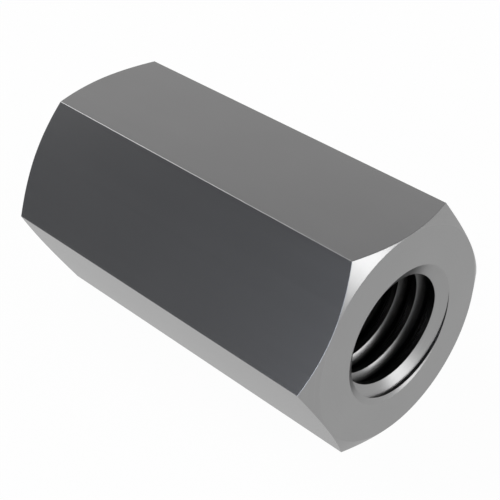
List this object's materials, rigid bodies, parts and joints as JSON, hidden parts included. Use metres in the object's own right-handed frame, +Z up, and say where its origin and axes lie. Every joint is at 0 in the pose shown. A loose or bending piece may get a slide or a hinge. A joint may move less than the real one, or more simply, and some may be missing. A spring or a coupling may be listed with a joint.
{
  "type": "coupling nut",
  "caption": "Long hexagon coupling nut with chamfered ends and a countersunk threaded hole right through, lying on one flat.",
  "frame": {"origin": "the middle of the nut, on its thread axis", "axes": "+X along the thread axis out of the end that faces the camera, +Z up, square to the flat that the nut lies on"},
  "size_m": [0.015, 0.0092, 0.008],
  "materials": {
    "steel": "bare machined steel, satin"
  },
  "bodies": {
    "root": {"coupling_nut": "steel"}
  },
  "joints": []
}
